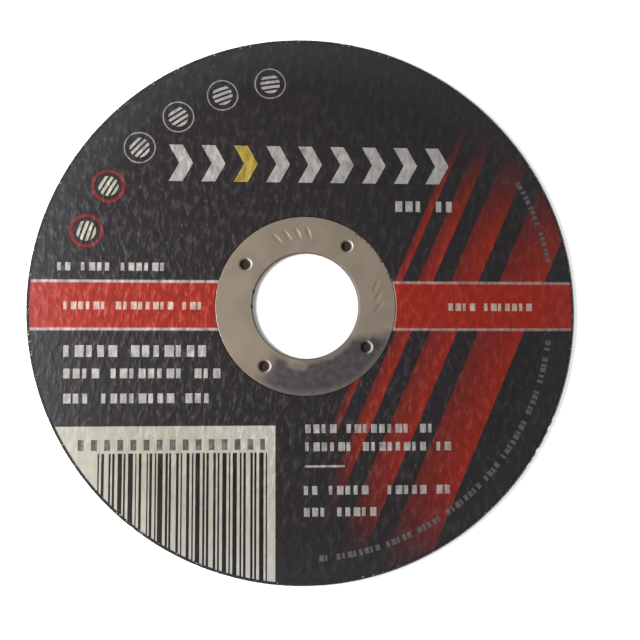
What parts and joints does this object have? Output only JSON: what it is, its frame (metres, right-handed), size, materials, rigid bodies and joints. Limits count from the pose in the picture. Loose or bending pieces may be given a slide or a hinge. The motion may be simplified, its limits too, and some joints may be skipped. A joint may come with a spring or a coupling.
{
  "type": "cut off wheel",
  "caption": "Thin flat abrasive cutting wheel with a printed paper face and a flanged steel ring that lines its centre bore, for an angle grinder.",
  "frame": {"origin": "centre of the bore, on the plane of the back face of the disc", "axes": "+Z along the bore's axis, out of the printed face; +X to the right and +Y up on the printed face"},
  "size_m": [0.115, 0.115, 0.0011],
  "materials": {
    "abrasive": "dark grain in resin, rough and matt, with the imprint of a woven net on the back",
    "label_paper": "printed paper with a faint crinkle and a low sheen",
    "ring_steel": "pressed thin sheet steel, satin, with scuffs"
  },
  "bodies": {
    "root": {"abrasive_disc": "abrasive", "label": "label_paper", "bore_ring": "ring_steel"}
  },
  "joints": []
}
